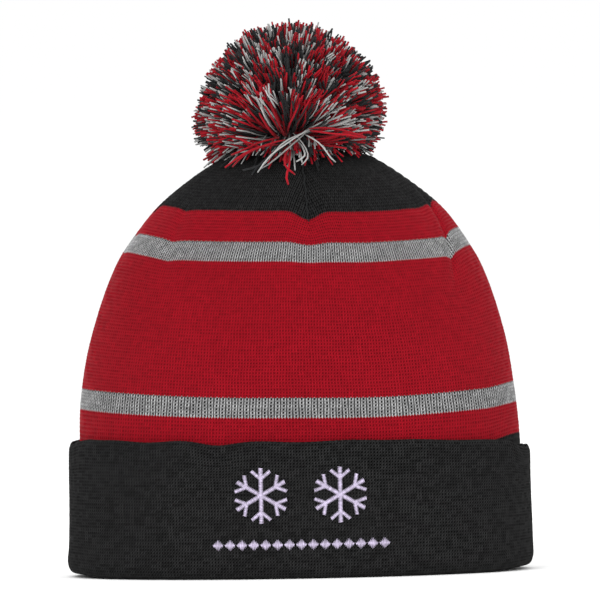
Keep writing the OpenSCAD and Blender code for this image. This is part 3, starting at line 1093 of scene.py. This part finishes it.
def build_cuff():
    """The face in three pieces, rolled under at the foot, and the layer behind it."""
    face = [
        [WALL_IN - 3.5, 0.05], [ROLL_R - 1.8, 0.08], [ROLL_R / 2 - 1.2, 0.5],
        [0.9, 2.0], [-0.2, 5.0], [-0.4, 8.5], [-0.1, 15], [0, 30], [0.1, 50],
        [0.2, CUFF_H - 5], [0.6, CUFF_H - 2.2], [1.2, CUFF_H - 0.6], [1.9, CUFF_H - 0.1],
        [CUFF_T, CUFF_H - 0.9], [CUFF_T + 0.1, CUFF_H - 6],
    ]
    section, even = resample(face, CUFF_COURSE / ROWS_PER_COURSE)
    last = len(section) - 1
    split = [0, int(last * 0.31), int(last * 0.64), last]

    def behind(points):
        """The inset of the wall behind the face, which closes over the foot."""
        deep = np.where(points[:, 1] < 12, CUFF_STACK + 2.0, CUFF_T)
        return np.maximum(deep, points[:, 0] + 0.2)

    names = ("cuff_roll_knit", "cuff_face_knit_low", "cuff_face_knit_high")
    for n, name in enumerate(names):
        ob = cuff_piece(name, split[n], split[n + 1], section, even, behind)
        dress(ob, black_knit(), "cuff_face")
    under = [[UNDER_OUT, z] for z in np.linspace(10, CUFF_H - 0.6, 16)]
    under += [[UNDER_OUT + 1.1, CUFF_H + 0.1]]
    under += [[UNDER_IN, z] for z in np.linspace(CUFF_H - 0.4, 9, 16)]
    ob = plain_ring("cuff_under_knit", under, CUFF_WALES * 3, CUFF_WALES, 0.4, "cuff")
    dress(ob, black_knit(), "cuff_under_layer")


def build_embroidery():
    """Two snowflakes and the border under them, in one thread."""
    rng = np.random.default_rng(11)
    lilac = satin_material("lilac_satin", LILAC)
    made = (
        (snowflake("left_flake_stitches", -1, rng), "left_snowflake"),
        (snowflake("right_flake_stitches", 1, rng), "right_snowflake"),
        (border("border_stitches", rng), "stitched_border"),
    )
    for ob, node in made:
        dress(ob, lilac, node)


def dress_backing(node):
    """The backing shows as it is in the frame, a flat piece between the cuff's layers."""
    node.data.materials.clear()
    node.data.materials.append(backing_material())


def build_pom():
    """The ball, which turns, and the fringe, which lies on the crown."""
    yarn_pieces("pom_yarn", "pom", pom_strands(7), True)
    yarn_pieces("pom_skirt", "hat", skirt_strands(8), False)


def build_tie():
    """The cord that holds the pom: its winding, its two knots and the ends between them."""
    winding = helix_line(4.0, PIVOT_Z + 1.6, PIVOT_Z + 15.5, 8)
    tie_knot = knot_line((0, 0, PIVOT_Z), 2.0)
    inside_knot = knot_line((0, 0, PIVOT_Z - 13.2), 2.6)
    ends = [[0, 0, PIVOT_Z + below] for below in (-11.5, -6, -1.5)]
    for name, line, r, steps, node, body in (
        ("binding_winding", winding, 0.9, 400, "pom_binding", "pom"),
        ("tie_knot_cord", tie_knot, 0.9, 160, "tie_knot", "tie"),
        ("inside_knot_cord", inside_knot, 1.1, 160, "inside_knot", "anchor"),
        ("anchor_cord_plies", ends, 1.5, 40, "anchor_cord", "anchor"),
    ):
        dress(cord_tube(name, line, r, steps), black_yarn(), node, body)


def build_seam_threads():
    """A zigzag of stitches along each of the four darts, outside and in the lining."""
    cord = black_yarn()
    for name, node, inset, low, high in (
        ("crown_seam_stitches", "crown_seam_thread", -0.2, 184.5, 220),
        ("lining_seam_stitches", "lining_seam_thread", LINING_IN + 0.9, 180, 216),
    ):
        paths = []
        for seam in SEAM_TURN + 90 * np.arange(4):
            for n, h in enumerate(np.arange(low, high - 2.5, 2.4)):
                t = np.linspace(0, 1, STRAND_STEPS)
                height = h + 3.0 * t
                # The zigzag is 0.9 mm wide, which 57.3 turns from radians to degrees.
                wide = 0.9 / curve(HALF_WIDTHS, h) * 57.3
                angle = seam + wide * (t - 0.5) * (1 if n % 2 else -1)
                over = inset - 0.45 * np.sin(math.pi * t)
                paths.append(knit_points(height, angle, over))
        ob = tube_mesh(name, np.array(paths), 0.32, {"out": 0.8, "tone": 0.4})
        dress(ob, cord, node)


# ---- camera and studio ----

def make_camera():
    """A long lens that looks a little down on the hat, with a slight roll.

    Places are in metres here. The picture's width at the hat gives the lens."""
    distance = 12.0
    picture_w = 0.3048
    aim_x, aim_z = 0.0015, 0.1385
    roll = math.radians(-1.06)
    data = bpy.data.cameras.new("camera")
    data.sensor_width = 36
    data.lens = 36 * distance / picture_w
    data.clip_start, data.clip_end = 0.1, 100
    camera = bpy.data.objects.new("camera", data)
    bpy.context.scene.collection.objects.link(camera)
    elevation = math.radians(2)
    camera.location = (
        aim_x, -distance * math.cos(elevation), aim_z + distance * math.sin(elevation)
    )
    camera.rotation_mode = "ZXY"
    camera.rotation_euler = (math.pi / 2 - elevation, 0, roll)
    bpy.context.scene.camera = camera


def area_light(name, size, power, place, target=(0, 0, 0.12)):
    """A rectangular light that faces the hat."""
    data = bpy.data.lights.new(name, "AREA")
    data.shape = "RECTANGLE"
    data.size, data.size_y = size
    data.energy = power
    ob = bpy.data.objects.new(name, data)
    bpy.context.scene.collection.objects.link(ob)
    ob.location = place
    away = ob.location - Vector(target)
    ob.rotation_euler = away.to_track_quat("Z", "Y").to_euler()


def make_studio():
    """White surroundings, three soft lights and a white floor."""
    scene = bpy.context.scene
    scene.view_settings.view_transform = "Standard"
    world = bpy.data.worlds.new("studio")
    world.use_nodes = True
    set_inputs(world.node_tree.nodes["Background"], Color=(1, 1, 1, 1), Strength=1.0)
    scene.world = world
    area_light("key", (1.6, 1.2), 26, (-1.1, -2.0, 1.5))
    area_light("fill", (1.6, 1.6), 16.5, (1.5, -1.9, 0.9))
    area_light("top", (1.2, 1.2), 10, (0, 0.3, 2.0))
    mesh = bpy.data.meshes.new("floor")
    side = 40.0
    mesh.from_pydata([(-side, -side, 0), (side, -side, 0), (side, side, 0), (-side, side, 0)],
                     [], [(0, 1, 2, 3)])
    floor = bpy.data.objects.new("floor", mesh)
    scene.collection.objects.link(floor)
    material, _, shader = node_tree("pale_floor")
    set_inputs(shader, Base_Color=(1.0, 1.0, 1.0, 1), Specular_IOR_Level=0.0, Roughness=0.9)
    mesh.materials.append(material)


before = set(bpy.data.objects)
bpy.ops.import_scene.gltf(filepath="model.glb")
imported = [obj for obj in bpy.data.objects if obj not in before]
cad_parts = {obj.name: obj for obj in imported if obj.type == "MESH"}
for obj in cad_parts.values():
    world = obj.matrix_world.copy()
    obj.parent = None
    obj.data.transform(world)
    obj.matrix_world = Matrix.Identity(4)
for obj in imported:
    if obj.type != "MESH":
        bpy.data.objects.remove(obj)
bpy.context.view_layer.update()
make_camera()
make_studio()
build_body()
build_lining()
build_cuff()
build_embroidery()
build_seam_threads()
build_tie()
build_pom()
dress_backing(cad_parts["embroidery_backing"])
